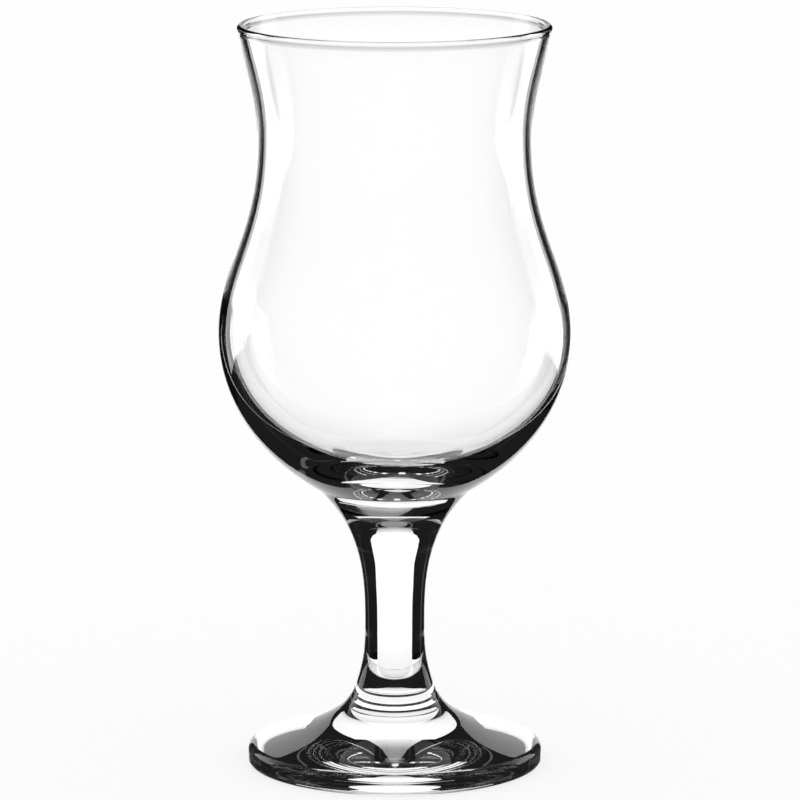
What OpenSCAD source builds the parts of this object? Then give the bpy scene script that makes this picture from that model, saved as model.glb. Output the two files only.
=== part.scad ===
// Hurricane glass in clear soda-lime glass: a blown bowl, a pressed stem and a pressed foot.
// The three gathers are fused hot, so each one ends in a flat disc where it meets the next.
// Millimetres, +Z up, origin on the table under the centre of the foot.
// Every piece is turned about the Z axis from one side profile.

/* [Bowl] */
// Height of the bowl from its fused joint with the stem up to the lip
bowl_h = 117.5; // [108:0.5:130]
// Outer diameter of the belly, at its widest
belly_d = 82.4; // [74:0.1:90]
// Height of the widest place above the fused joint
belly_z = 45.5; // [40:0.1:54]
// Outer diameter of the waist above the belly, at its narrowest
waist_d = 63.9; // [56:0.1:72]
// Height of the waist above the fused joint
waist_z = 90.7; // [82:0.1:98]
// Outer diameter of the collar, where the round bottom turns down into the stem's flare
collar_d = 36.8; // [33:0.1:41]
// Height of the collar above the fused joint
collar_z = 8.7; // [8:0.1:9.5]
// Outward lean of the side at the collar, in degrees
collar_lean = 59.2; // [54:0.2:63]
// Outer diameter of the lip, over its bead
rim_d = 73; // [66:0.1:80]
// Outward lean of the wall just below the lip, in degrees
rim_lean = 10; // [4:0.5:18]

/* [Bowl wall] */
// Thickness of the wall at the belly
belly_wall = 1.9; // [1.2:0.05:3.2]
// Height above the fused joint at which the inside is widest
inner_belly_z = 45.6; // [40:0.1:54]
// Thickness of the wall at the waist
waist_wall = 1.85; // [1.2:0.05:2.8]
// Thickness of the wall just below the lip
rim_wall = 1.6; // [1:0.05:1.7]
// Diameter of the fire-polished bead along the lip
bead_d = 1.8; // [1.75:0.05:2.4]
// Solid glass between the fused joint and the lowest point of the inside
sole_t = 10.1; // [9.5:0.1:14]

/* [Stem] */
// Length of the stem between its two fused joints
stem_h = 37.2; // [30:0.1:60]
// Diameter of the stem at its slimmest
stem_d = 14.1; // [11:0.1:16]
// Height of the slimmest place above the lower fused joint
stem_waist_z = 13.1; // [10:0.1:20]
// Diameter of the fused joint between stem and bowl
neck_d = 22.9; // [19:0.1:27]
// Outward lean of the side at the fused joint between stem and bowl, in degrees
neck_lean = 27; // [14:0.2:30]

/* [Foot] */
// Height of the foot from the table up to its fused joint with the stem
foot_h = 20.3; // [16:0.1:26]
// Diameter of the foot
foot_d = 69.3; // [60:0.1:80]
// Diameter of the fused joint between foot and stem
root_d = 17.4; // [16.5:0.1:22]
// Inward lean of the side at the fused joint between foot and stem, in degrees
root_lean = 16.2; // [8:0.2:24]
// Slope of the foot's top where it leaves the edge, in degrees
top_slope = 18.2; // [8:0.2:22]
// Radius of the upper rounding of the edge
edge_top_r = 2.1; // [1.5:0.1:3.5]
// Radius of the lower rounding of the edge
edge_low_r = 1.4; // [0.6:0.1:2]
// Height of the upright band of the edge, between its two roundings
edge_band_h = 1.8; // [0.5:0.1:3]
// Width of the flat ring that stands on the table
ring_w = 2.1; // [1.5:0.1:6]
// Depth of the shallow dish under the foot
dish_h = 1.4; // [0.6:0.1:2]

/* [Hidden] */
$fn = 96;

// Straight runs that stand for each curve, and for each rounding
curve_steps = 16;
arc_steps = 12;

// How far a curve keeps the direction it starts and ends with, as shares of its rise or run
neck_up_share = 0.45;
collar_low_share = 0.133;
collar_up_share = 0.477;
belly_low_share = 0.395;
belly_high_share = 0.34;
waist_low_share = 0.48;
waist_high_share = 0.38;
lip_share = 0.34;
heel_share = 0.355;
inner_belly_share = 0.705;
root_up_share = 0.403;
stem_low_share = 0.418;
stem_high_share = 0.366;
neck_low_share = 0.335;
foot_out_share = 0.634;
foot_in_share = 0.609;
dish_share = 0.619;
dish_rim_share = 0.118;
dish_rim_lift_share = 0.723;

root_z = foot_h;
neck_z = root_z + stem_h;
lip_z = neck_z + bowl_h;

// Directions, as [outward, upward], in which the sides climb at the joints, collar and lip
neck_way = [tan(neck_lean), 1];
collar_way = [sin(collar_lean), cos(collar_lean)];
root_way = [-tan(root_lean), 1];
lip_way = [sin(rim_lean), cos(rim_lean)];
top_way = [-1, tan(top_slope)];

// Points of the profile, as [radius, height]
neck = [neck_d / 2, neck_z];
collar = [collar_d / 2, neck_z + collar_z];
belly = [belly_d / 2, neck_z + belly_z];
waist = [waist_d / 2, neck_z + waist_z];
inner_belly = [belly[0] - belly_wall, neck_z + inner_belly_z];
inner_waist = [waist[0] - waist_wall, waist[1]];
sole = [0, neck_z + sole_t];
stem_waist = [stem_d / 2, root_z + stem_waist_z];
root = [root_d / 2, root_z];

// The bead is centred on the wall's middle, so it stands proud of both faces alike
bead_r = bead_d / 2;
bead = [rim_d / 2 - bead_r, lip_z - bead_r];
bead_turn = acos(rim_wall / bead_d);

edge_top = [foot_d / 2 - edge_top_r, edge_low_r + edge_band_h];
edge_low = [foot_d / 2 - edge_low_r, edge_low_r];
dish_r = edge_low[0] - ring_w;

function curve_point(a, b, c, d, t) =
    a * pow(1 - t, 3) + 3 * b * t * pow(1 - t, 2) + 3 * c * t * t * (1 - t) + d * pow(t, 3);

// Points from a to d that leave a towards b and reach d from c; the end d itself is left out
function curve(a, b, c, d) =
    [for (i = [0 : curve_steps - 1]) curve_point(a, b, c, d, i / curve_steps)];

// Points round a centre, both ends included
function arc(centre, radius, from, to) =
    [for (i = [0 : arc_steps])
        let (turn = from + (to - from) * i / arc_steps)
        centre + radius * [cos(turn), sin(turn)]];

// Outer side of the bowl, from the fused joint up to the bead
function bowl_outside(lip_edge) = concat(
    let (rise = collar[1] - neck[1])
    curve(neck, neck + neck_up_share * rise * neck_way,
          collar - collar_low_share * rise * collar_way, collar),
    let (rise = belly[1] - collar[1])
    curve(collar, collar + collar_up_share * rise * collar_way,
          belly - [0, belly_low_share * rise], belly),
    let (rise = waist[1] - belly[1])
    curve(belly, belly + [0, belly_high_share * rise], waist - [0, waist_low_share * rise], waist),
    let (rise = lip_edge[1] - waist[1])
    curve(waist, waist + [0, waist_high_share * rise], lip_edge - lip_share * rise * lip_way, lip_edge)
);

// Inner side of the bowl, from the bead down to the middle of its floor
function bowl_inside(lip_edge) = concat(
    let (drop = lip_edge[1] - inner_waist[1])
    curve(lip_edge, lip_edge - lip_share * drop * lip_way,
          inner_waist + [0, waist_high_share * drop], inner_waist),
    let (drop = inner_waist[1] - inner_belly[1])
    curve(inner_waist, inner_waist - [0, waist_low_share * drop],
          inner_belly + [0, belly_high_share * drop], inner_belly),
    let (drop = inner_belly[1] - sole[1])
    curve(inner_belly, inner_belly - [0, inner_belly_share * drop],
          sole + [heel_share * inner_belly[0], 0], sole)
);

module bowl() {
    rim = arc(bead, bead_r, -rim_lean - bead_turn, 180 - rim_lean + bead_turn);
    color("white", 0.3)
        rotate_extrude()
            polygon(concat(
                [[0, neck_z]],
                bowl_outside(rim[0]),
                rim,
                bowl_inside(rim[arc_steps]),
                [sole]
            ));
}

module stem() {
    low_rise = stem_waist[1] - root[1];
    high_rise = neck[1] - stem_waist[1];
    color("white", 0.3)
        rotate_extrude()
            polygon(concat(
                [[0, root_z]],
                curve(root, root + root_up_share * low_rise * root_way,
                      stem_waist - [0, stem_low_share * low_rise], stem_waist),
                curve(stem_waist, stem_waist + [0, stem_high_share * high_rise],
                      neck - neck_low_share * high_rise * neck_way, neck),
                [neck, [0, neck_z]]
            ));
}

module foot() {
    edge = arc(edge_top, edge_top_r, 0, 90 - top_slope);
    shoulder = edge[arc_steps];
    run = shoulder[0] - root[0];
    rise = root[1] - shoulder[1];
    color("white", 0.3)
        rotate_extrude()
            polygon(concat(
                curve([0, dish_h], [dish_share * dish_r, dish_h],
                      [(1 - dish_rim_share) * dish_r, dish_rim_lift_share * dish_h], [dish_r, 0]),
                [[dish_r, 0]],
                arc(edge_low, edge_low_r, -90, 0),
                edge,
                curve(shoulder, shoulder + foot_out_share * run * top_way,
                      root - foot_in_share * rise * root_way, root),
                [root, [0, root_z]]
            ));
}

bowl();
stem();
foot();
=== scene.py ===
"""Looks of a clear hurricane glass: a blown bowl, a pressed stem and a pressed foot, fused hot.

Each gather is drawn as half a side profile in the XZ plane and spun about the Z axis.
Sizes are in millimetres in the classes and in metres once they are a mesh.
"""

import logging
import math
from dataclasses import dataclass, field
from enum import Enum

import bpy
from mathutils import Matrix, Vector
from mathutils.geometry import interpolate_bezier


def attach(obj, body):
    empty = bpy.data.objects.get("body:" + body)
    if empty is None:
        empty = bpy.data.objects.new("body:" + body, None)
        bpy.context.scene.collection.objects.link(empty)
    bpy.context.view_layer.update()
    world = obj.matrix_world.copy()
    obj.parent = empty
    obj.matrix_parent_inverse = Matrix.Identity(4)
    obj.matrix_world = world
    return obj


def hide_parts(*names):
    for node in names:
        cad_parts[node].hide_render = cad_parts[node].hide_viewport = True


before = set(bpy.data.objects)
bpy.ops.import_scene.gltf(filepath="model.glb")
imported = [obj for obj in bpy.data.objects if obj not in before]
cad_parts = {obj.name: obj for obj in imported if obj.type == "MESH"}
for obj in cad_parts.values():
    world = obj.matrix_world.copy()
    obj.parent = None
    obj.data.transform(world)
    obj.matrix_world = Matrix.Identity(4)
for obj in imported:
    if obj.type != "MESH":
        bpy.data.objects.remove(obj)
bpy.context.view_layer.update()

MM = 0.001
UM = 0.000001
FULL_TURN = 2 * math.pi
# Facets round the axis: the belly's silhouette is then off a true circle by 4 micrometres
FACETS = 240
# Rings closer than this are one ring; the finest real spacing, by a pole, is ten times as wide
MERGE_GAP = 2 * UM
# Sides meet a flat fused seam at 64 degrees or more, and everything else is rounder than this
SEAM_CREASE = math.radians(50)
# Slot of the seam's material on a gather, after the glass's own
SEAM_SLOT = 1
# Faces of glass that light passes on its way through one wall or a solid gather, and through both
# walls of the bowl. A count is a whole number, so a test for it allows half a step
ONE_WALL = 2
BOTH_WALLS = 4
HALF_STEP = 0.5
# Bounces that solid glass needs before its light gets out, and fused seams and cards on the way
MOST_BOUNCES = 32
MOST_CLEAR_FACES = 64

log = logging.getLogger("hurricane_glass")


def linear(hex_colour: str) -> tuple[float, float, float, float]:
    """Turn an sRGB hex colour into linear light.

    Args:
        hex_colour: Colour as "#rrggbb".

    Returns:
        Red, green, blue and an alpha of 1.
    """
    parts = [int(hex_colour[i:i + 2], 16) / 255 for i in (1, 3, 5)]
    light = [p / 12.92 if p <= 0.04045 else ((p + 0.055) / 1.055) ** 2.4 for p in parts]
    return (*light, 1.0)


def add_node(tree: bpy.types.NodeTree, kind: str, settings: dict | None = None,
             inputs: dict | None = None) -> bpy.types.Node:
    """Add one node with its settings, and fill or link its inputs.

    Args:
        tree: Node tree that gets the node.
        kind: Blender's name of the node type.
        settings: Properties of the node, by name.
        inputs: Input sockets by name or index, each with a value or the output that feeds it.

    Returns:
        The new node.
    """
    node = tree.nodes.new(kind)
    for name, value in (settings or {}).items():
        setattr(node, name, value)
    for key, value in (inputs or {}).items():
        if isinstance(value, bpy.types.NodeSocket):
            tree.links.new(value, node.inputs[key])
        else:
            node.inputs[key].default_value = value
    return node


def point(radius: float, height: float) -> Vector:
    """Point of a side profile, given and kept in millimetres."""
    return Vector((radius, 0, height))


def lean(degrees: float) -> Vector:
    """Direction that climbs and leans outwards by this angle, of length 1."""
    return point(math.sin(math.radians(degrees)), math.cos(math.radians(degrees)))


def slope(degrees: float) -> Vector:
    """Direction that climbs by 1 and leans outwards by this angle."""
    return point(math.tan(math.radians(degrees)), 1)


def bend(start: Vector, leaves: Vector, arrives: Vector, end: Vector, steps: int) -> list[Vector]:
    """Smooth stretch of a profile.

    Args:
        start: First point.
        leaves: Point that the curve heads for as it leaves the start.
        arrives: Point that the curve comes from as it reaches the end.
        end: Last point.
        steps: Number of straight runs.

    Returns:
        The points without the end, which the next stretch begins with.
    """
    return interpolate_bezier(start, leaves, arrives, end, steps + 1)[:-1]


def rounding(centre: Vector, radius: float, first: float, last: float, steps: int) -> list[Vector]:
    """Arc of a profile, both ends included.

    Args:
        centre: Middle of the arc.
        radius: Its radius in millimetres.
        first: Angle of its first point in degrees, 0 pointing outwards and 90 up.
        last: Angle of its last point.
        steps: Number of straight runs.

    Returns:
        The points from the first angle to the last.
    """
    angles = [math.radians(first + (last - first) * i / steps) for i in range(steps + 1)]
    return [centre + radius * point(math.cos(a), math.sin(a)) for a in angles]


def spin_profile(name: str, profile: list[Vector]) -> bpy.types.Object:
    """Draw a side profile point by point and spin it once round the Z axis.

    Args:
        name: Name of the new piece.
        profile: Points in millimetres that start and end on the axis.

    Returns:
        The closed piece, smooth except where its sides meet a flat fused seam.
    """
    bpy.ops.object.select_all(action="DESELECT")
    bpy.ops.mesh.primitive_plane_add(size=MM, location=(0, 0, 0))
    piece = bpy.context.active_object
    piece.name = name
    piece.data.name = name
    bpy.ops.object.mode_set(mode="EDIT")
    bpy.ops.mesh.select_all(action="SELECT")
    bpy.ops.mesh.merge(type="CENTER")
    bpy.ops.transform.translate(value=profile[0] * MM)
    for here, there in zip(profile, profile[1:]):
        bpy.ops.mesh.extrude_vertices_move(TRANSFORM_OT_translate={"value": (there - here) * MM})
    bpy.ops.mesh.select_all(action="SELECT")
    bpy.ops.mesh.spin(steps=FACETS, angle=FULL_TURN, center=(0, 0, 0), axis=(0, 0, 1))
    bpy.ops.mesh.select_all(action="SELECT")
    bpy.ops.mesh.remove_doubles(threshold=MERGE_GAP)
    bpy.ops.mesh.normals_make_consistent(inside=False)
    bpy.ops.object.mode_set(mode="OBJECT")
    bpy.ops.object.shade_smooth_by_angle(angle=SEAM_CREASE)
    return piece


class Making(Enum):
    """How a gather of glass got its surface."""

    BLOWN = "blown"
    PRESSED = "pressed"


@dataclass(frozen=True)
class SodaLimeGlass:
    """Clear soda-lime glass, fire-polished, so it mirrors and bends light without any haze.

    Its surface still swells and sinks by micrometres, more where a plunger pressed it than where
    it was blown, and that makes the bright and dark bands in it run slightly unevenly.
    """

    making: Making
    tint: str = "#ffffff"
    ior: float = 1.52
    swell_width: float = 14
    swell_height: float = 4
    ripple_width: float = 3.5
    ripple_height: float = 0.3
    # Where light crosses the bowl and meets the far wall flatter than this, measured as 1 less
    #     # the cosine of its angle to the face's normal, the glass's colour is painted black: a
    #     painted
    #     # dark line along the bowl's edges, standing where the bent light would meet the black
    #     flags
    glancing_from: float = 0.8
    painted_edge_black: str = "#000000"

    def painted_dark_edge_tint(self, tree: bpy.types.NodeTree) -> bpy.types.NodeSocket:
        """Tint of the glass: clear, but painted black for glancing light that has crossed the
        bowl, which draws a painted dark line along the bowl's edges.

        Args:
            tree: Node tree of the material.

        Returns:
            The output with the tint.
        """
        sums = "ShaderNodeMath"
        path = add_node(tree, "ShaderNodeLightPath")
        side = add_node(tree, "ShaderNodeNewGeometry")
        facing = add_node(tree, "ShaderNodeLayerWeight", inputs={"Blend": 0.5})
        glancing = add_node(tree, sums, {"operation": "GREATER_THAN"}, {
            0: facing.outputs["Facing"], 1: self.glancing_from})
        crossed = add_node(tree, sums, {"operation": "GREATER_THAN"}, {
            0: path.outputs["Transmission Depth"], 1: ONE_WALL - HALF_STEP})
        unmirrored = add_node(tree, sums, {"operation": "LESS_THAN"}, {
            0: path.outputs["Glossy Depth"], 1: HALF_STEP})
        entering = add_node(tree, sums, {"operation": "LESS_THAN"}, {
            0: side.outputs["Backfacing"], 1: HALF_STEP})
        # Painted shade: where all four hold, the glass's colour is black, a painted dark edge line
        dark = glancing
        for condition in (crossed, unmirrored, entering):
            dark = add_node(tree, sums, {"operation": "MULTIPLY"}, {
                0: dark.outputs[0], 1: condition.outputs[0]})
        return add_node(tree, "ShaderNodeMix", {"data_type": "RGBA"}, {
            0: dark.outputs[0], 6: linear(self.tint), 7: linear(self.painted_edge_black)}).outputs[2]

    def material(self) -> bpy.types.Material:
        """Build the material on the piece's own coordinates.

        Returns:
            The finished material.
        """
        material = bpy.data.materials.new(f"soda_lime_glass_{self.making.value}")
        material.use_nodes = True
        tree = material.node_tree
        tree.nodes.clear()
        place = add_node(tree, "ShaderNodeTexCoord").outputs["Object"]
        normal = None
        for width, height in ((self.swell_width, self.swell_height),
                              (self.ripple_width, self.ripple_height)):
            waves = add_node(tree, "ShaderNodeTexNoise", inputs={
                "Vector": place, "Scale": 1 / (width * MM), "Detail": 0.0})
            bump = add_node(tree, "ShaderNodeBump", inputs={
                "Height": waves.outputs["Fac"], "Distance": height * UM, "Strength": 1.0})
            if normal:
                tree.links.new(normal, bump.inputs["Normal"])
            normal = bump.outputs["Normal"]
        glass = add_node(tree, "ShaderNodeBsdfPrincipled", inputs={
            "Base Color": self.painted_dark_edge_tint(tree), "Roughness": 0.0, "IOR": self.ior,
            "Transmission Weight": 1.0, "Normal": normal})
        add_node(tree, "ShaderNodeOutputMaterial", inputs={"Surface": glass.outputs["BSDF"]})
        return material


@dataclass(frozen=True)
class FusedSeam:
    """The flat place where two gathers melted into one: no surface is left there to see."""

    def material(self) -> bpy.types.Material:
        """Build the material.

        Returns:
            A material that lets all light straight through.
        """
        material = bpy.data.materials.new("fused_seam_clear")
        material.use_nodes = True
        tree = material.node_tree
        tree.nodes.clear()
        clear = add_node(tree, "ShaderNodeBsdfTransparent", inputs={"Color": linear("#ffffff")})
        add_node(tree, "ShaderNodeOutputMaterial", inputs={"Surface": clear.outputs["BSDF"]})
        return material


def dress(piece: bpy.types.Object, glass: bpy.types.Material, seam: bpy.types.Material,
          seam_heights: list[float], node: str) -> None:
    """Give a gather its materials and tie it to the frame.

    Args:
        piece: The gather's mesh.
        glass: Material of its outside and inside.
        seam: Material of its flat fused ends.
        seam_heights: Heights of those ends above the table, in millimetres.
        node: Node of the frame that the piece stands for.
    """
    piece.data.materials.append(glass)
    piece.data.materials.append(seam)
    corners = piece.data.vertices
    for face in piece.data.polygons:
        for height in seam_heights:
            if all(abs(corners[i].co.z - height * MM) < MERGE_GAP for i in face.vertices):
                face.material_index = SEAM_SLOT
    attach(piece, "root")
    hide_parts(node)
    log.info("%s: %d faces, %s", piece.name, len(piece.data.polygons), glass.name)


@dataclass
class Foot:
    """Pressed foot: a disc with a rounded edge whose top climbs to the stem, dished beneath."""

    height: float = 20.3
    diameter: float = 69.3
    root_diameter: float = 17.4
    root_lean: float = 16.2
    top_slope: float = 18.2
    edge_top_radius: float = 2.1
    edge_low_radius: float = 1.4
    edge_band: float = 1.8
    ring_width: float = 2.1
    dish_depth: float = 1.4
    top_out_share: float = 0.634
    top_in_share: float = 0.609
    dish_share: float = 0.619
    dish_rim_share: float = 0.118
    dish_rim_lift: float = 0.723
    dish_steps: int = 40
    edge_low_steps: int = 12
    edge_top_steps: int = 20
    top_steps: int = 64

    @property
    def root(self) -> Vector:
        """Rim of the fused seam between foot and stem."""
        return point(self.root_diameter / 2, self.height)

    def profile(self) -> list[Vector]:
        """Side profile from the middle of the dish out round the edge and up to the seam."""
        edge_top = point(self.diameter / 2 - self.edge_top_radius,
                         self.edge_low_radius + self.edge_band)
        edge_low = point(self.diameter / 2 - self.edge_low_radius, self.edge_low_radius)
        dish = edge_low.x - self.ring_width
        low = rounding(edge_low, self.edge_low_radius, -90, 0, self.edge_low_steps)
        top = rounding(edge_top, self.edge_top_radius, 0, 90 - self.top_slope,
                       self.edge_top_steps)
        run = top[-1].x - self.root.x
        rise = self.root.z - top[-1].z
        inward = point(-1, math.tan(math.radians(self.top_slope)))
        return (
            bend(point(0, self.dish_depth), point(self.dish_share * dish, self.dish_depth),
                 point((1 - self.dish_rim_share) * dish, self.dish_rim_lift * self.dish_depth),
                 point(dish, 0), self.dish_steps)
            + [point(dish, 0)] + low + top[:-1]
            + bend(top[-1], top[-1] + self.top_out_share * run * inward,
                   self.root - self.top_in_share * rise * slope(-self.root_lean), self.root,
                   self.top_steps)
            + [self.root, point(0, self.height)]
        )

    def build(self, glass: bpy.types.Material, seam: bpy.types.Material) -> None:
        """Model and dress the foot."""
        dress(spin_profile("foot_pressed", self.profile()), glass, seam, [self.height], "foot")


@dataclass
class Stem:
    """Short solid stem, slimmest below its middle, that flares into the foot and the bowl."""

    foot: Foot
    length: float = 37.2
    waist_diameter: float = 14.1
    waist_height: float = 13.1
    neck_diameter: float = 22.9
    neck_lean: float = 27
    root_up_share: float = 0.403
    waist_low_share: float = 0.418
    waist_high_share: float = 0.366
    neck_low_share: float = 0.335
    low_steps: int = 32
    high_steps: int = 48

    @property
    def top(self) -> float:
        """Height of the fused seam between stem and bowl."""
        return self.foot.height + self.length

    @property
    def neck(self) -> Vector:
        """Rim of that seam."""
        return point(self.neck_diameter / 2, self.top)

    def profile(self) -> list[Vector]:
        """Side profile from the lower seam up to the upper one."""
        root = self.foot.root
        waist = point(self.waist_diameter / 2, root.z + self.waist_height)
        low = waist.z - root.z
        high = self.neck.z - waist.z
        return (
            [point(0, root.z)]
            + bend(root, root + self.root_up_share * low * slope(-self.foot.root_lean),
                   waist - point(0, self.waist_low_share * low), waist, self.low_steps)
            + bend(waist, waist + point(0, self.waist_high_share * high),
                   self.neck - self.neck_low_share * high * slope(self.neck_lean), self.neck,
                   self.high_steps)
            + [self.neck, point(0, self.top)]
        )

    def build(self, glass: bpy.types.Material, seam: bpy.types.Material) -> None:
        """Model and dress the stem."""
        dress(spin_profile("stem_pressed", self.profile()), glass, seam,
              [self.foot.height, self.top], "stem")


@dataclass
class Bowl:
    """Blown bowl: round bottom and belly, drawn-in waist, flared mouth with a melted lip."""

    stem: Stem
    height: float = 117.5
    belly_diameter: float = 82.4
    belly_height: float = 45.5
    inner_belly_height: float = 45.6
    waist_diameter: float = 63.9
    waist_height: float = 90.7
    collar_diameter: float = 36.8
    collar_height: float = 8.7
    collar_lean: float = 59.2
    rim_diameter: float = 73
    rim_lean: float = 10
    belly_wall: float = 1.9
    waist_wall: float = 1.85
    rim_wall: float = 1.6
    bead_diameter: float = 1.8
    # How far the inside's bottom lies off the axis, and how far up the inside that is felt
    floor_shift: float = 0.9
    shift_reach: float = 66
    sole_thickness: float = 10.1
    neck_up_share: float = 0.45
    collar_low_share: float = 0.133
    collar_up_share: float = 0.477
    belly_low_share: float = 0.395
    belly_high_share: float = 0.34
    waist_low_share: float = 0.48
    waist_high_share: float = 0.38
    lip_share: float = 0.34
    heel_share: float = 0.355
    inner_belly_share: float = 0.705
    flare_steps: int = 32
    bottom_steps: int = 48
    shoulder_steps: int = 32
    mouth_steps: int = 28
    lip_steps: int = 24
    inner_bottom_steps: int = 56

    def lip(self) -> list[Vector]:
        """The melted bead, from its meeting with the outside over the top to the inside."""
        radius = self.bead_diameter / 2
        centre = point(self.rim_diameter / 2 - radius, self.stem.top + self.height - radius)
        turn = math.degrees(math.acos(self.rim_wall / self.bead_diameter))
        return rounding(centre, radius, -self.rim_lean - turn, 180 - self.rim_lean + turn,
                        self.lip_steps)

    def outside(self, lip_edge: Vector) -> list[Vector]:
        """Outer side, from the seam up to the bead.

        Args:
            lip_edge: Where the bead begins on the outside.

        Returns:
            The points without the bead's first.
        """
        neck = self.stem.neck
        collar = point(self.collar_diameter / 2, self.stem.top + self.collar_height)
        belly = point(self.belly_diameter / 2, self.stem.top + self.belly_height)
        waist = point(self.waist_diameter / 2, self.stem.top + self.waist_height)
        flare, bottom = collar.z - neck.z, belly.z - collar.z
        shoulder, mouth = waist.z - belly.z, lip_edge.z - waist.z
        return (
            bend(neck, neck + self.neck_up_share * flare * slope(self.stem.neck_lean),
                 collar - self.collar_low_share * flare * lean(self.collar_lean), collar,
                 self.flare_steps)
            + bend(collar, collar + self.collar_up_share * bottom * lean(self.collar_lean),
                   belly - point(0, self.belly_low_share * bottom), belly, self.bottom_steps)
            + bend(belly, belly + point(0, self.belly_high_share * shoulder),
                   waist - point(0, self.waist_low_share * shoulder), waist,
                   self.shoulder_steps)
            + bend(waist, waist + point(0, self.waist_high_share * mouth),
                   lip_edge - self.lip_share * mouth * lean(self.rim_lean), lip_edge,
                   self.mouth_steps)
        )

    def inside(self, lip_edge: Vector) -> list[Vector]:
        """Inner side, from the bead down to the middle of the bowl's floor.

        Args:
            lip_edge: Where the bead ends on the inside.

        Returns:
            The points, with the middle of the floor last.
        """
        belly = point(self.belly_diameter / 2 - self.belly_wall,
                      self.stem.top + self.inner_belly_height)
        waist = point(self.waist_diameter / 2 - self.waist_wall, self.stem.top + self.waist_height)
        sole = point(0, self.stem.top + self.sole_thickness)
        mouth, shoulder, bottom = lip_edge.z - waist.z, waist.z - belly.z, belly.z - sole.z
        return (
            bend(lip_edge, lip_edge - self.lip_share * mouth * lean(self.rim_lean),
                 waist + point(0, self.waist_high_share * mouth), waist, self.mouth_steps)
            + bend(waist, waist - point(0, self.waist_low_share * shoulder),
                   belly + point(0, self.belly_high_share * shoulder), belly,
                   self.shoulder_steps)
            + bend(belly, belly - point(0, self.inner_belly_share * bottom),
                   sole + point(self.heel_share * belly.x, 0), sole, self.inner_bottom_steps)
            + [sole]
        )

    def profile(self) -> list[Vector]:
        """Side profile from the seam, over the lip and down to the bowl's floor."""
        lip = self.lip()
        return ([point(0, self.stem.top)] + self.outside(lip[0]) + lip
                + self.inside(lip[-1])[1:])

    def settle(self, bowl: bpy.types.Object) -> None:
        """Let the inside's round bottom lie a little to one side, as it does in blown glass.

        Args:
            bowl: The spun bowl, whose inside moves and whose outside stays.
        """
        floor = point(0, self.stem.top + self.sole_thickness) * MM
        lowest = min(bowl.data.vertices, key=lambda corner: (corner.co - floor).length).index
        bpy.ops.object.mode_set(mode="EDIT")
        bpy.ops.mesh.select_mode(type="VERT")
        bpy.ops.mesh.select_all(action="DESELECT")
        bpy.ops.object.mode_set(mode="OBJECT")
        bowl.data.vertices[lowest].select = True
        bpy.ops.object.mode_set(mode="EDIT")
        bpy.ops.transform.translate(
            value=(self.floor_shift * MM, 0, 0), use_proportional_edit=True,
            proportional_edit_falloff="SPHERE", proportional_size=self.shift_reach * MM,
            use_proportional_connected=True)
        bpy.ops.object.mode_set(mode="OBJECT")

    def build(self, glass: bpy.types.Material, seam: bpy.types.Material) -> None:
        """Model and dress the bowl."""
        bowl = spin_profile("bowl_blown", self.profile())
        self.settle(bowl)
        dress(bowl, glass, seam, [self.stem.top], "bowl")


class Sight(Enum):
    """Which light through the glass shows a card of the studio."""

    ALL = "all light"
    MIRRORED_ONCE = "light that a face of the glass has mirrored once"
    UNMIRRORED = "light that no face of the glass has mirrored"
    CROSSED_ONCE = "light that went into glass and out once, and that no face has mirrored"


@dataclass(frozen=True)
class Card:
    """Upright glowing card that only the glass shows, never the camera or the floor.

    Azimuth 0 is behind the glass as the camera sees it. Levels are the card's cuts from its
    bottom up: height, then how far it reaches left and right of its middle.
    """

    name: str
    azimuth: float
    levels: tuple[tuple[float, float, float], ...]
    sight: Sight
    glow: float
    distance: float = 200


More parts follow.
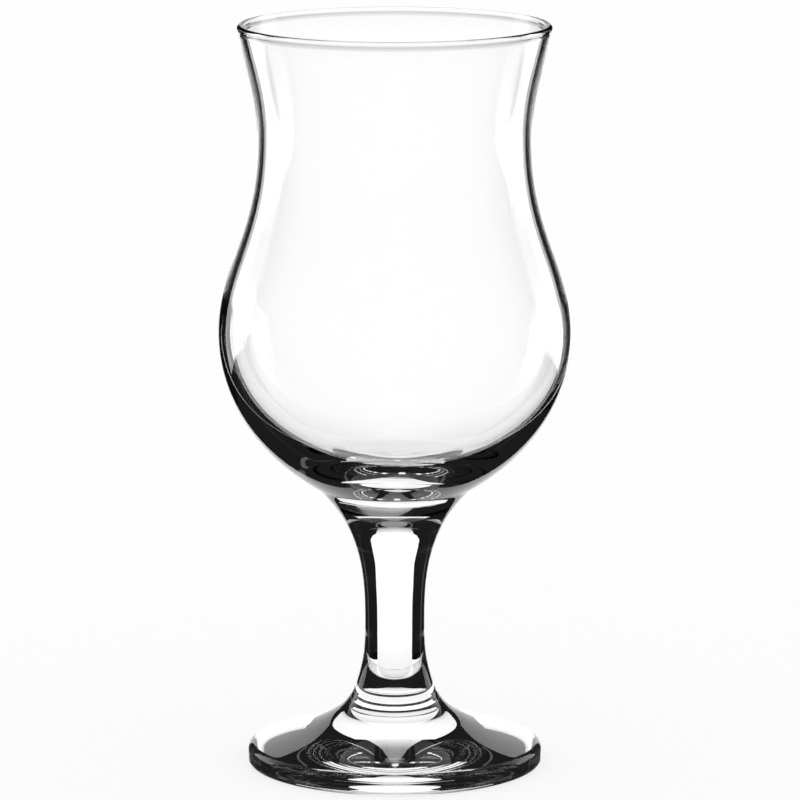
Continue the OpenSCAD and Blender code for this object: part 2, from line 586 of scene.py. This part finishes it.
@dataclass
class Studio:
    """White surround in which the glass stands between black flags, as glass is photographed.

    Straight at the camera the surround is plain white. In the glass it is a white card behind,
    as wide as the camera's view, with black to both sides that draws the dark lines along the
    glass's edges; along the bowl's far wall a painted dark line in the glass's own colour adds to
    them. Cards on the other sides, and white further down, keep the glass clear when
    seen from there, and only light that no face of the glass has mirrored meets them.
    """

    # Brighter than white by what the four faces of the bowl's two walls mirror away
    card_glow: float = 1.18
    # Faint light through a gap in the black, that draws grey lines in the glass's dark sides
    gap_glow: float = 0.12
    # Black cloth still gives off this little
    flag_glow: float = 0.011
    # Brighter than white, because a face of the glass mirrors only a part of it
    side_glow: float = 1.6
    # The near flags take light that leaves the stem and foot up to 25 degrees down. The far ones
    # take the steeper rest, and neither stands behind the open mouth when it is seen from above
    cards: tuple[Card, ...] = (
        Card("card_behind", 0,
             ((-700, 95, 95), (20, 95, 95), (60, 86, 86), (105, 93, 90), (135, 93, 90),
              (155, 60, 60), (900, 45, 45)), Sight.ALL, card_glow),
        Card("card_in_front", 180, ((-700, 97, 97), (900, 97, 97)), Sight.UNMIRRORED, card_glow),
        Card("card_right", 90, ((-700, 42, 42), (900, 42, 42)), Sight.UNMIRRORED, card_glow),
        Card("card_left", -90, ((-700, 42, 42), (900, 42, 42)), Sight.UNMIRRORED, card_glow),
        Card("gap_right", 51.5, ((-700, 15, 15), (700, 15, 15)), Sight.ALL, gap_glow, 590),
        Card("gap_left", -51.5, ((-700, 15, 15), (700, 15, 15)), Sight.ALL, gap_glow, 590),
        Card("flag_right", 55, ((-260, 332, 332), (-10, 332, 332)), Sight.CROSSED_ONCE,
             flag_glow, 600),
        Card("flag_left", -55, ((-260, 332, 332), (-10, 332, 332)), Sight.CROSSED_ONCE,
             flag_glow, 600),
        Card("low_flag_right", 55, ((-1170, 1108, 1108), (-900, 1108, 1108)),
             Sight.CROSSED_ONCE, flag_glow, 2000),
        Card("low_flag_left", -55, ((-1170, 1108, 1108), (-900, 1108, 1108)),
             Sight.CROSSED_ONCE, flag_glow, 2000),
        Card("side_right", 0, ((15, -195, 600), (400, -195, 600)), Sight.MIRRORED_ONCE,
             side_glow),
        Card("side_left", 0, ((15, 600, -195), (400, 600, -195)), Sight.MIRRORED_ONCE,
             side_glow),
    )
    # Height and colour of the cards' light, which fades upwards and under the table
    fade: tuple[tuple[float, str], ...] = (
        (-700, "#888888"), (-350, "#d8d8d8"), (-170, "#e6e6e6"), (-60, "#f2f2f2"),
        (10, "#ffffff"), (140, "#ffffff"), (170, "#e0e0e0"), (205, "#c8c8c8"), (235, "#b0b0b0"),
        (270, "#959595"), (330, "#888888"), (900, "#808080"),
    )
    flag: str = "#1b1b1b"
    # The ceiling begins this many degrees above the horizon
    ceiling: str = "#909090"
    ceiling_from: float = 77
    # Upward share of the direction below which the surround turns white, to light through one
    # wall or a solid gather (11 degrees down) and through both walls of the bowl (17 degrees up)
    white_to: float = -0.19
    white_to_both: float = 0.3
    paper: str = "#ffffff"
    # Share of the floor's white that light has to reach, so the glass's shadow takes only that
    floor_lit: float = 0.3
    # Light that reaches the floor through the glass, next to light that comes straight
    through_glass: str = "#b4b4b4"
    floor_size: float = 12000
    # The floor lies a hair below the foot, so that the two never share a plane
    floor_drop: float = 0.05

    def build(self) -> None:
        """Make the floor, the cards and the surround."""
        bpy.ops.object.select_all(action="DESELECT")
        bpy.ops.mesh.primitive_plane_add(size=self.floor_size * MM,
                                         location=(0, 0, -self.floor_drop * MM))
        floor = bpy.context.active_object
        floor.name = "floor"
        floor.data.materials.append(self.floor_paper())
        for card in self.cards:
            self.stand(card)
        self.surround()
        log.info("studio: white floor and surround, %d cards", len(self.cards))

    def stand(self, card: Card) -> None:
        """Cut a card level by level and stand it round the glass.

        Args:
            card: What to cut and where it stands.
        """
        bpy.ops.object.select_all(action="DESELECT")
        bpy.ops.mesh.primitive_plane_add(size=MM, location=(0, 0, 0))
        board = bpy.context.active_object
        board.name = card.name
        bpy.ops.object.mode_set(mode="EDIT")
        bpy.ops.mesh.select_all(action="SELECT")
        bpy.ops.mesh.merge(type="CENTER")
        height, left, right = card.levels[0]
        bpy.ops.transform.translate(value=Vector((-left, card.distance, height)) * MM)
        bpy.ops.mesh.extrude_vertices_move(
            TRANSFORM_OT_translate={"value": Vector((left + right, 0, 0)) * MM})
        bpy.ops.mesh.select_all(action="SELECT")
        for (low, was_left, was_right), (high, left, right) in zip(card.levels, card.levels[1:]):
            middle, was_middle = (right - left) / 2, (was_right - was_left) / 2
            bpy.ops.mesh.extrude_edges_move(TRANSFORM_OT_translate={
                "value": Vector((middle - was_middle, 0, high - low)) * MM})
            widen = (left + right) / (was_left + was_right)
            bpy.ops.transform.resize(value=(widen, 1, 1),
                                     center_override=Vector((middle, 0, 0)) * MM)
        bpy.ops.mesh.select_all(action="SELECT")
        bpy.ops.transform.rotate(value=math.radians(card.azimuth), orient_axis="Z",
                                 center_override=(0, 0, 0))
        bpy.ops.object.mode_set(mode="OBJECT")
        board.data.materials.append(self.glowing_paper(card))
        board.visible_camera = False
        board.visible_diffuse = False
        board.visible_shadow = False

    def glowing_paper(self, card: Card) -> bpy.types.Material:
        """White paper lit from behind, brightest at the glass's own height.

        Args:
            card: The card it is for, which says how bright it is and which light shows it.

        Returns:
            The card's material.
        """
        material = bpy.data.materials.new(f"lit_paper_{card.name}")
        material.use_nodes = True
        tree = material.node_tree
        tree.nodes.clear()
        place = add_node(tree, "ShaderNodeSeparateXYZ", inputs={
            0: add_node(tree, "ShaderNodeTexCoord").outputs["Object"]})
        lowest, highest = self.fade[0][0], self.fade[-1][0]
        climb = add_node(tree, "ShaderNodeMapRange", inputs={
            "Value": place.outputs["Z"], "From Min": lowest * MM, "From Max": highest * MM})
        colour = add_node(tree, "ShaderNodeValToRGB", inputs={0: climb.outputs[0]})
        stops = colour.color_ramp.elements
        while len(stops) < len(self.fade):
            stops.new(0.5)
        for stop, (height, shade) in zip(stops, self.fade):
            stop.position = (height - lowest) / (highest - lowest)
            stop.color = linear(shade)
        surface = add_node(tree, "ShaderNodeEmission", inputs={
            "Color": colour.outputs["Color"], "Strength": card.glow})
        if card.sight is not Sight.ALL:
            path = add_node(tree, "ShaderNodeLightPath")
            count = path.outputs["Glossy Depth"]
            wanted = 1 if card.sight is Sight.MIRRORED_ONCE else 0
            if card.sight is Sight.CROSSED_ONCE:
                # Counts the faces passed, and one mirroring already takes it past a wall's two
                count = add_node(tree, "ShaderNodeMath", {"operation": "MULTIPLY_ADD"}, {
                    0: count, 1: ONE_WALL + 1,
                    2: path.outputs["Transmission Depth"]}).outputs[0]
                wanted = ONE_WALL
            shown = add_node(tree, "ShaderNodeMath", {"operation": "COMPARE"}, {
                0: count, 1: wanted, 2: HALF_STEP})
            clear = add_node(tree, "ShaderNodeBsdfTransparent")
            surface = add_node(tree, "ShaderNodeMixShader", inputs={
                0: shown.outputs[0], 1: clear.outputs[0], 2: surface.outputs[0]})
        add_node(tree, "ShaderNodeOutputMaterial", inputs={"Surface": surface.outputs[0]})
        return material

    def floor_paper(self) -> bpy.types.Material:
        """Matt white paper that keeps a soft shadow, and that the glass looks straight through.

        Returns:
            The floor's material.
        """
        material = bpy.data.materials.new("matt_white_paper")
        material.use_nodes = True
        tree = material.node_tree
        tree.nodes.clear()
        path = add_node(tree, "ShaderNodeLightPath")
        lit = add_node(tree, "ShaderNodeBsdfDiffuse", inputs={"Color": linear(self.paper)})
        glow = add_node(tree, "ShaderNodeEmission", inputs={
            "Color": linear(self.paper), "Strength": 1.0})
        paper = add_node(tree, "ShaderNodeMixShader", inputs={
            0: self.floor_lit, 1: glow.outputs[0], 2: lit.outputs[0]})
        in_glass = add_node(tree, "ShaderNodeMath", {"operation": "MAXIMUM"}, {
            0: path.outputs["Is Transmission Ray"], 1: path.outputs["Is Glossy Ray"]})
        clear = add_node(tree, "ShaderNodeBsdfTransparent")
        seen = add_node(tree, "ShaderNodeMixShader", inputs={
            0: in_glass.outputs[0], 1: paper.outputs[0], 2: clear.outputs[0]})
        add_node(tree, "ShaderNodeOutputMaterial", inputs={"Surface": seen.outputs[0]})
        return material

    def surround(self) -> None:
        """Build the world: plain white to the eye and the floor, black flags to the glass."""
        world = bpy.data.worlds.new("studio_surround")
        bpy.context.scene.world = world
        world.use_nodes = True
        tree = world.node_tree
        tree.nodes.clear()
        sums, mix, colours = "ShaderNodeMath", "ShaderNodeMix", {"data_type": "RGBA"}
        path = add_node(tree, "ShaderNodeLightPath")
        way = add_node(tree, "ShaderNodeSeparateXYZ", inputs={
            0: add_node(tree, "ShaderNodeTexCoord").outputs["Generated"]})
        overhead = add_node(tree, sums, {"operation": "GREATER_THAN"}, {
            0: way.outputs["Z"], 1: math.sin(math.radians(self.ceiling_from))})
        seen = add_node(tree, mix, colours, {
            0: overhead.outputs[0], 6: linear(self.flag), 7: linear(self.ceiling)})
        # Light that crosses the glass unmirrored finds white where it goes down steeply, and
        # after both walls of the bowl up to a little above the horizon
        crossed = add_node(tree, sums, {"operation": "GREATER_THAN"}, {
            0: path.outputs["Transmission Depth"], 1: ONE_WALL - HALF_STEP})
        through_both = add_node(tree, sums, {"operation": "GREATER_THAN"}, {
            0: path.outputs["Transmission Depth"], 1: BOTH_WALLS - HALF_STEP})
        unmirrored = add_node(tree, sums, {"operation": "LESS_THAN"}, {
            0: path.outputs["Glossy Depth"], 1: HALF_STEP})
        top = add_node(tree, sums, {"operation": "MULTIPLY_ADD"}, {
            0: through_both.outputs[0], 1: self.white_to_both - self.white_to,
            2: self.white_to})
        below = add_node(tree, sums, {"operation": "LESS_THAN"}, {
            0: way.outputs["Z"], 1: top.outputs[0]})
        straight = add_node(tree, sums, {"operation": "MULTIPLY"}, {
            0: crossed.outputs[0], 1: unmirrored.outputs[0]})
        straight = add_node(tree, sums, {"operation": "MULTIPLY"}, {
            0: straight.outputs[0], 1: below.outputs[0]})
        glow = [part * self.card_glow for part in linear(self.paper)]
        seen = add_node(tree, mix, colours, {
            0: straight.outputs[0], 6: seen.outputs[2], 7: glow})
        # What lights the floor is white, and dimmer where it came through the glass
        lighting = add_node(tree, sums, {"operation": "GREATER_THAN"}, {
            0: path.outputs["Diffuse Depth"], 1: HALF_STEP})
        filtered = add_node(tree, sums, {"operation": "GREATER_THAN"}, {
            0: path.outputs["Transmission Depth"], 1: HALF_STEP})
        white = add_node(tree, mix, colours, {
            0: filtered.outputs[0], 6: linear(self.paper), 7: linear(self.through_glass)})
        lit = add_node(tree, mix, colours, {
            0: lighting.outputs[0], 6: seen.outputs[2], 7: white.outputs[2]})
        final = add_node(tree, mix, colours, {
            0: path.outputs["Is Camera Ray"], 6: lit.outputs[2], 7: linear(self.paper)})
        lamp = add_node(tree, "ShaderNodeBackground", inputs={
            "Color": final.outputs[2], "Strength": 1.0})
        add_node(tree, "ShaderNodeOutputWorld", inputs={"Surface": lamp.outputs[0]})


@dataclass
class PhotoCamera:
    """Camera at the photograph's place: a long lens from a little above the lip.

    Its pitch is in degrees below the horizon.
    """

    sideways: float = 1.23
    distance: float = 1334.8
    height: float = 329.6
    pitch: float = 10.314
    lens: float = 261.2

    def build(self) -> None:
        """Make the camera and look through it."""
        view = bpy.data.cameras.new("photo_camera")
        view.lens = self.lens
        camera = bpy.data.objects.new("photo_camera", view)
        bpy.context.collection.objects.link(camera)
        camera.location = Vector((self.sideways, -self.distance, self.height)) * MM
        camera.rotation_euler = (math.radians(90 - self.pitch), 0, 0)
        bpy.context.scene.camera = camera


@dataclass
class HurricaneGlass:
    """The whole glass: three gathers that share their fused seams."""

    foot: Foot = field(default_factory=Foot)
    blown: SodaLimeGlass = SodaLimeGlass(Making.BLOWN)
    pressed: SodaLimeGlass = SodaLimeGlass(Making.PRESSED, swell_width=9, swell_height=5)

    def build(self) -> None:
        """Model and dress foot, stem and bowl, from the table up."""
        stem = Stem(self.foot)
        blown, pressed = self.blown.material(), self.pressed.material()
        seam = FusedSeam().material()
        self.foot.build(pressed, seam)
        stem.build(pressed, seam)
        Bowl(stem).build(blown, seam)


def let_light_through(scene: bpy.types.Scene) -> None:
    """Allow the many bounces that solid glass needs before its light gets out."""
    scene.cycles.max_bounces = MOST_BOUNCES
    scene.cycles.transmission_bounces = MOST_BOUNCES
    scene.cycles.glossy_bounces = MOST_BOUNCES
    scene.cycles.transparent_max_bounces = MOST_CLEAR_FACES


def main() -> None:
    """Build the studio, the glass and the camera, and log each piece's face count."""
    logging.basicConfig(level=logging.INFO, format="%(name)s: %(message)s")
    bpy.context.scene.view_settings.view_transform = "Standard"
    let_light_through(bpy.context.scene)
    HurricaneGlass().build()
    Studio().build()
    PhotoCamera().build()


if __name__ == "__main__":
    main()
